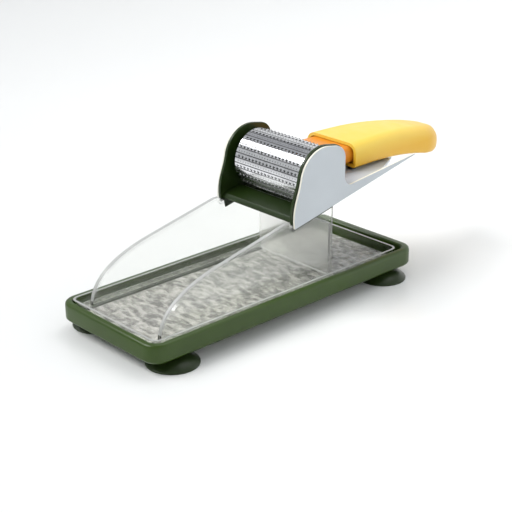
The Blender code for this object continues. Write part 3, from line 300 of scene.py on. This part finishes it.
def soften(piece, width, angle):
    """Rounds a piece's sharp edges."""
    bevel = piece.modifiers.new("edges", "BEVEL")
    bevel.width = width
    bevel.segments = 2
    bevel.limit_method = "ANGLE"
    bevel.angle_limit = math.radians(angle)
    bevel.harden_normals = True


def skin(node, material, width, smooth_angle=SMOOTH_ANGLE):
    """A clean copy of a CAD node's surface, smooth where it is round and softened at its edges."""
    bm = bmesh.new()
    bm.from_mesh(NODES[node].data)
    weld(bm)
    mesh = bpy.data.meshes.new(node + "_skin")
    bm.to_mesh(mesh)
    bm.free()
    packed_normals = mesh.attributes.get("custom_normal")
    if packed_normals is not None:
        mesh.attributes.remove(packed_normals)
    piece = bpy.data.objects.new(node + "_skin", mesh)
    bpy.context.scene.collection.objects.link(piece)
    dress(piece, node, material, smooth_angle)
    if width:
        soften(piece, width, smooth_angle)
    return piece


def finish_faces(piece, material, wanted):
    """Gives the faces that pass a test their own finish."""
    piece.data.materials.append(material)
    index = len(piece.data.materials) - 1
    for face in piece.data.polygons:
        if wanted(face):
            face.material_index = index


def from_bmesh(name, bm):
    """A new object in the scene from a finished bmesh."""
    mesh = bpy.data.meshes.new(name)
    bm.to_mesh(mesh)
    bm.free()
    piece = bpy.data.objects.new(name, mesh)
    bpy.context.scene.collection.objects.link(piece)
    return piece


def carve(piece, cutter):
    """Cuts one piece out of another and removes the cutter."""
    modifier = piece.modifiers.new("carve", "BOOLEAN")
    modifier.operation = "DIFFERENCE"
    modifier.solver = "EXACT"
    modifier.object = cutter
    cut_mesh = bpy.data.meshes.new_from_object(piece.evaluated_get(bpy.context.evaluated_depsgraph_get()))
    piece.modifiers.remove(modifier)
    piece.data = cut_mesh
    bpy.data.objects.remove(cutter)


# ------------------------------------------------------------ tray and feet

skin("base_tray", TRAY_GREEN, 0.3 * MM)
for end in ("front", "rear"):
    for side in ("left", "right"):
        skin(f"suction_foot_{end}_{side}", FOOT_GREEN, 0.15 * MM)

liner = skin("catch_liner", CLEAR_LINER, 0.3 * MM)
liner_low, liner_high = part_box("catch_liner")


def on_liner_floor(face):
    """The upper and lower faces of the liner's floor."""
    return abs(face.normal.z) > 0.9 and face.center.z < liner_low.z + 3 * MM


finish_faces(liner, HAMMERED_WITH_PAINTED_GLINTS, on_liner_floor)
# The liner's top rim gets the paler finish as a painted highlight.
finish_faces(liner, CLEAR_EDGE_PAINTED_HIGHLIGHT, lambda face: face.center.z > liner_high.z - 0.5 * MM)
LINER_FLOOR_TOP = liner_low.z + 1.6 * MM
DIMPLE = 0.9 * MM  # depth of a pan in the hammered face
DIMPLE_WIDTH = 4.2 * MM
DIMPLE_LENGTH = 6.5 * MM
SWELL = 0.12 * MM  # slow rise and fall under the pans
SWELL_WIDTH = 11 * MM
SWELL_LENGTH = 15 * MM
GRID_PITCH = 1.1 * MM
PLATE_LIFT = 0.03 * MM  # gap between the liner's floor and a hammered plate
PLATE_THICKNESS = 0.1 * MM
PLATE_INSET = 3.5 * MM  # from the liner's outer faces


def hammered_height(x, y):
    """Height of the hammered face: shallow pans that meet in soft ridges."""
    distances = noise.voronoi(Vector((x / DIMPLE_WIDTH, y / DIMPLE_LENGTH, 0.5)))[0]
    pan = min(distances[0] / 0.75, 1.0)
    swell = noise.noise(Vector((x / SWELL_WIDTH, y / SWELL_LENGTH, 3.0)))
    return DIMPLE * (0.25 + 0.75 * pan * pan * (3 - 2 * pan)) + SWELL * swell


def hammered_plate(name, half_x, front, rear):
    """A clear plate that lies on the liner's floor with a hammered upper face."""
    columns = round(2 * half_x / GRID_PITCH)
    rows = round((rear - front) / GRID_PITCH)
    bm = bmesh.new()
    base = LINER_FLOOR_TOP + PLATE_LIFT
    grid = []
    for j in range(rows + 1):
        y = front + (rear - front) * j / rows
        line = []
        for i in range(columns + 1):
            x = -half_x + 2 * half_x * i / columns
            line.append(bm.verts.new((x, y, base + PLATE_THICKNESS + hammered_height(x, y))))
        grid.append(line)
    for a, b in zip(grid, grid[1:]):
        for i in range(columns):
            bm.faces.new((a[i], a[i + 1], b[i + 1], b[i]))
    right = [line[-1] for line in grid[1:]]
    left = [line[0] for line in grid[-2:0:-1]]
    rim = grid[0] + right + grid[-1][-2::-1] + left
    foot = [bm.verts.new((vert.co.x, vert.co.y, base)) for vert in rim]
    for i in range(len(rim)):
        j = (i + 1) % len(rim)
        bm.faces.new((rim[i], foot[i], foot[j], rim[j]))
    bm.faces.new(foot)
    bmesh.ops.recalc_face_normals(bm, faces=bm.faces)
    dress(from_bmesh(name, bm), "catch_liner", HAMMERED_WITH_PAINTED_GLINTS, 60.0)


guard_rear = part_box("splash_guard")[1].y
inside_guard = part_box("rail_runner_right")[0].x
plate_front = liner_low.y + PLATE_INSET
plate_rear = liner_high.y - PLATE_INSET
hammered_plate("hammered_floor_front", inside_guard, plate_front, guard_rear - 3 * MM)
hammered_plate("hammered_floor_rear", liner_high.x - PLATE_INSET, guard_rear + 2 * MM, plate_rear)
guard = skin("splash_guard", CLEAR_GUARD, 0.35 * MM)


def on_guard_painted_highlight(face):
    """The tops of the arched walls, which get a paler, less clear finish as a painted highlight."""
    return abs(face.normal.x) < 0.3 and face.normal.z > 0.15 and face.center.z > liner_low.z + 6 * MM


def on_rear_wall_painted_highlight(face):
    """The faces of the guard's rear wall, made faintly milky as a painted highlight that pales its edges."""
    return abs(face.normal.y) > 0.7 and face.center.y > guard_rear - 4 * MM


finish_faces(guard, CLEAR_EDGE_PAINTED_HIGHLIGHT, on_guard_painted_highlight)
finish_faces(guard, CLEAR_REAR_PAINTED_HIGHLIGHT, on_rear_wall_painted_highlight)

# --------------------------------------------------------------------- head

for side in ("left", "right"):
    skin(f"cheek_{side}", CHEEK_GREEN, 0.3 * MM)
    skin(f"rail_runner_{side}", DARK_NYLON, 0.1 * MM)
    skin(f"axle_bush_{side}", DARK_NYLON, 0.1 * MM)
    skin(f"rest_pad_{side}", PAD_BLACK, 0.15 * MM)
    plate = skin(f"side_plate_{side}", PLATE_GREY, 0.2 * MM)
    # The plates' edge faces get the cream painted highlight.
    finish_faces(plate, PLATE_EDGE_PAINTED_HIGHLIGHT, lambda face: abs(face.normal.x) < 0.7)

skin("arm_tongue", PLATE_GREY, 0.2 * MM)
skin("throat_ramp", CHEEK_GREEN, 0.2 * MM)
skin("drum_scraper", CHEEK_GREEN, 0.2 * MM)
skin("slicing_blade", BLADE_STEEL, 0.05 * MM)
skin("drum_spacer", DARK_NYLON, 0.15 * MM)
skin("hinge_pin", BRIGHT_STEEL, 0.15 * MM)


RECESS = Vector((2.6 * MM, 0.624 * MM, 1.17 * MM))  # one bar of the cross in a screw's head


def cross_headed_screw(node, head_up):
    """A screw with the cross-shaped drive recess cut in its head."""
    piece = skin(node, BRIGHT_STEEL, 0)
    low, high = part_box(node)
    middle = (low + high) / 2
    face_z = high.z if head_up else low.z
    for turn in (0, 90):
        bm = bmesh.new()
        bar = bmesh.ops.create_cube(bm, size=1.0)["verts"]
        bmesh.ops.scale(bm, vec=RECESS, verts=bar)
        bmesh.ops.rotate(bm, matrix=Matrix.Rotation(math.radians(turn), 3, "Z"), verts=bar)
        bmesh.ops.translate(bm, vec=(middle.x, middle.y, face_z), verts=bar)
        carve(piece, from_bmesh(f"{node}_recess_{turn}", bm))


for place in ("left", "middle", "right"):
    cross_headed_screw(f"blade_screw_{place}", True)
for place in ("front", "rear"):
    cross_headed_screw(f"grip_screw_{place}", False)

# --------------------------------------------------------------------- drum

drum_low, drum_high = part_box("drum_shell")
AXIS = (drum_low + drum_high) / 2
DRUM_R = (drum_high.z - drum_low.z) / 2
ROWS = 36  # coarse and fine rows by turns
COARSE_COUNT = 17  # teeth in a coarse row
FINE_COUNT = 23
WALL = 0.8 * MM
GROOVE = 0.3 * MM  # depth of the pressed line between rows
END_ROUND = 0.25 * MM  # rounding of the drum's ends
END_MARGIN = 2 * MM  # plain steel at each end
HOLE_COARSE = (1.2 * MM, 1.5 * MM)  # half width, and length round the drum
HOLE_FINE = (0.45 * MM, 0.7 * MM)
TOOTH_COARSE = (1.2 * MM, 0.9 * MM, 0.55 * MM)  # half width, length and height
TOOTH_FINE = (0.5 * MM, 0.5 * MM, 0.1925 * MM)
TOOTH_ROOT = 0.15 * MM  # how far a tooth is sunk in the sheet


def on_drum(x, angle, radius):
    """A point at an angle round the drum's axis."""
    return Vector((x, AXIS.y + radius * math.cos(angle), AXIS.z + radius * math.sin(angle)))


def drum_outline():
    """Angles and radii round the drum: a plain band for each row and a pressed line after it."""
    step = math.tau / ROWS
    points = []
    for row in range(ROWS):
        start = row * step
        for i in range(6):
            points.append((start + step * 0.8 * i / 5, DRUM_R))
        for share in (0.86, 0.94):
            points.append((start + step * share, DRUM_R - GROOVE))
    return points


def build_drum_sheet():
    """The rolled sheet, as rings from end to end outside and back again inside."""
    bm = bmesh.new()
    outer = drum_outline()
    loops = []
    ends = (drum_low.x + END_ROUND, drum_high.x - END_ROUND)
    stations = [(drum_low.x, END_ROUND, False), (ends[0], 0, False), (ends[1], 0, False)]
    stations += [(drum_high.x, END_ROUND, False), (drum_high.x, 0, True), (drum_low.x, 0, True)]
    for x, less, inside in stations:
        ring = []
        for angle, radius in outer:
            reach = DRUM_R - WALL if inside else radius - less
            ring.append(bm.verts.new(on_drum(x, angle, reach)))
        loops.append(ring)
    count = len(outer)
    for a, b in zip(loops, loops[1:] + loops[:1]):
        for i in range(count):
            j = (i + 1) % count
            bm.faces.new((a[i], a[j], b[j], b[i]))
    bmesh.ops.recalc_face_normals(bm, faces=bm.faces)
    return from_bmesh("drum_sheet", bm)


def tooth_places():
    """(angle, x, coarse or not) of each tooth. Every other pair of rows is shifted a quarter of a pitch."""
    step = math.tau / ROWS
    for row in range(ROWS):
        coarse = row % 2 == 0
        count = COARSE_COUNT if coarse else FINE_COUNT
        pitch = (drum_high.x - drum_low.x - 2 * END_MARGIN) / count
        offset = 0.5 if (row // 2) % 2 == 0 else 0.25
        for i in range(count):
            yield row * step + step * 0.4, drum_low.x + END_MARGIN + (i + offset) * pitch, coarse


def prism(bm, corners, angle, x, depth_in, depth_out):
    """A closed prism through the drum's wall. Corners are (along the axis, round the drum)."""
    low = [bm.verts.new(on_drum(x + u, angle + v / DRUM_R, DRUM_R - depth_in)) for u, v in corners]
    high = [bm.verts.new(on_drum(x + u, angle + v / DRUM_R, DRUM_R + depth_out)) for u, v in corners]
    bm.faces.new(low)
    bm.faces.new(high)
    for i in range(len(corners)):
        j = (i + 1) % len(corners)
        bm.faces.new((low[i], low[j], high[j], high[i]))


def build_hole_cutter():
    """A triangular prism for each hole in the sheet."""
    bm = bmesh.new()
    for angle, x, coarse in tooth_places():
        half, reach = HOLE_COARSE if coarse else HOLE_FINE
        prism(bm, ((-half, 0), (half, 0), (0, reach)), angle, x, 2 * MM, 1 * MM)
    bmesh.ops.recalc_face_normals(bm, faces=bm.faces)
    return from_bmesh("drum_holes", bm)


def build_teeth():
    """Raised points behind the holes, each with a steep face over its hole."""
    bm = bmesh.new()
    for angle, x, coarse in tooth_places():
        half, back, rise = TOOTH_COARSE if coarse else TOOTH_FINE
        sunk = DRUM_R - TOOTH_ROOT
        left = bm.verts.new(on_drum(x - half, angle - 0.05 * MM / DRUM_R, sunk))
        right = bm.verts.new(on_drum(x + half, angle - 0.05 * MM / DRUM_R, sunk))
        tail = bm.verts.new(on_drum(x, angle - back / DRUM_R, sunk))
        crest = bm.verts.new(on_drum(x, angle + 0.1 * MM / DRUM_R, DRUM_R + rise))
        bm.faces.new((left, right, crest))
        bm.faces.new((right, tail, crest))
        bm.faces.new((tail, left, crest))
        bm.faces.new((right, left, tail))
    bmesh.ops.recalc_face_normals(bm, faces=bm.faces)
    return from_bmesh("drum_teeth", bm)


sheet_piece = build_drum_sheet()
carve(sheet_piece, build_hole_cutter())
dress(sheet_piece, "drum_shell", DRUM_STEEL, 30.0)


def from_axis(face):
    """Distance of a face from the drum's axis."""
    return math.hypot(face.center.y - AXIS.y, face.center.z - AXIS.z)


GROOVE_REACH = DRUM_R - 0.1 * MM  # grooves lie inside this radius
INNER_REACH = DRUM_R - 0.5 * MM  # the holes' walls and the bore lie inside this one
# The grooves get the darker steel as painted shade.
finish_faces(sheet_piece, DRUM_GROOVE_PAINTED_SHADE, lambda face: INNER_REACH < from_axis(face) < GROOVE_REACH)
# The holes' walls and the bore get the near-black painted shade.
finish_faces(sheet_piece, DRUM_INSIDE_PAINTED_SHADE, lambda face: from_axis(face) <= INNER_REACH)
dress(build_teeth(), "drum_shell", TOOTH_STEEL, 20.0)
for side in ("left", "right"):
    skin(f"drum_cap_{side}", CHEEK_GREEN, 0.2 * MM)
skin("drum_axle", BRIGHT_STEEL, 0.15 * MM)

# --------------------------------------------------------------------- grip

skin("grip_shell", GRIP_YELLOW_PAINTED_LIGHT, 0.35 * MM, 50.0)
skin("grip_base", GRIP_YELLOW_PAINTED_LIGHT, 0.3 * MM)
# The food cup's deep orange is the grip's yellow with painted shade.
skin("food_cup", CUP_ORANGE_PAINTED_SHADE, 0.4 * MM)

# -------------------------------------------------------- floor and lighting

CENTRE = (CAD_BOUNDS[0] + CAD_BOUNDS[1]) / 2
SIZE = (CAD_BOUNDS[1] - CAD_BOUNDS[0]).length
FLOOR_RINGS = 40
FLOOR_SIDES = 64
FLAT_SHARE = 0.55  # share of the floor's reach that lies flat
WORLD_COLOR = (0.93, 0.96, 1.0, 1)
WORLD_STRENGTH = 0.4


def build_floor():
    """A pale sheet that lies flat round the object and sweeps up far behind it on every side."""
    bm = bmesh.new()
    rings = []
    for i in range(FLOOR_RINGS):
        t = i / (FLOOR_RINGS - 1)
        reach = SIZE * (0.05 + 12.0 * t)
        lift = SIZE * 9.0 * max(0.0, (t - FLAT_SHARE) / (1 - FLAT_SHARE)) ** 2
        ring = []
        for k in range(FLOOR_SIDES):
            turn = math.tau * k / FLOOR_SIDES
            x = CENTRE.x + reach * math.cos(turn)
            y = CENTRE.y + reach * math.sin(turn)
            ring.append(bm.verts.new((x, y, lift)))
        rings.append(ring)
    bm.faces.new(rings[0])
    for a, b in zip(rings, rings[1:]):
        for k in range(FLOOR_SIDES):
            n = (k + 1) % FLOOR_SIDES
            bm.faces.new((a[k], b[k], b[n], a[n]))
    bmesh.ops.recalc_face_normals(bm, faces=bm.faces)
    floor = from_bmesh("studio_floor", bm)
    floor.data.shade_smooth()
    floor.location.z = -0.05 * MM
    made = Finish("studio_white", (0.9, 0.905, 0.9), 0.16)
    made.shader.inputs["Specular IOR Level"].default_value = 0.22
    floor.data.materials.append(made.material)


def soft_box(name, place, aim, size, power):
    """A rectangular lamp that faces a point."""
    data = bpy.data.lights.new(name, "AREA")
    data.shape = "RECTANGLE"
    data.size, data.size_y = size
    data.energy = power
    lamp = bpy.data.objects.new(name, data)
    bpy.context.scene.collection.objects.link(lamp)
    lamp.location = place
    lamp.rotation_euler = (Vector(aim) - Vector(place)).to_track_quat("-Z", "Y").to_euler()


def soft_sun(name, azimuth, elevation, strength, spread):
    """A broad, even light from one direction. Azimuth 0 is in front of the object and 90 on its right."""
    data = bpy.data.lights.new(name, "SUN")
    data.energy = strength
    data.angle = math.radians(spread)
    lamp = bpy.data.objects.new(name, data)
    bpy.context.scene.collection.objects.link(lamp)
    turn = math.radians(azimuth)
    rise = math.radians(elevation)
    towards = Vector((math.sin(turn) * math.cos(rise), -math.cos(turn) * math.cos(rise), math.sin(rise)))
    lamp.rotation_euler = towards.to_track_quat("Z", "Y").to_euler()


build_floor()
soft_sun("key_light", -40, 42, 3.3, 45)
soft_box("top_box", CENTRE + Vector((-0.1, 0.3, 0.8)), CENTRE, (0.7, 0.5), 2.2)

world = bpy.data.worlds.new("studio")
bpy.context.scene.world = world
world.use_nodes = True
world.node_tree.nodes["Background"].inputs["Color"].default_value = WORLD_COLOR
world.node_tree.nodes["Background"].inputs["Strength"].default_value = WORLD_STRENGTH
bpy.context.scene.view_settings.view_transform = "Standard"

# ------------------------------------------------------------------- camera

CAMERA_AZIMUTH = 46.85  # degrees, as for the lamps
CAMERA_ELEVATION = 22.64
CAMERA_PLACE = Vector((0.5291, -0.5197, 0.3293))
CAMERA_LENS = 88.08

around = math.radians(CAMERA_AZIMUTH)
above = math.radians(CAMERA_ELEVATION)
backward = Vector((math.sin(around) * math.cos(above), -math.cos(around) * math.cos(above), math.sin(above)))
camera_data = bpy.data.cameras.new("camera")
camera_data.lens = CAMERA_LENS
camera_data.sensor_width = 36.0
camera_data.clip_start = 0.01
camera = bpy.data.objects.new("camera", camera_data)
bpy.context.scene.collection.objects.link(camera)
camera.location = CAMERA_PLACE
camera.rotation_mode = "QUATERNION"
camera.rotation_quaternion = (-backward).to_track_quat("-Z", "Y")
bpy.context.scene.camera = camera
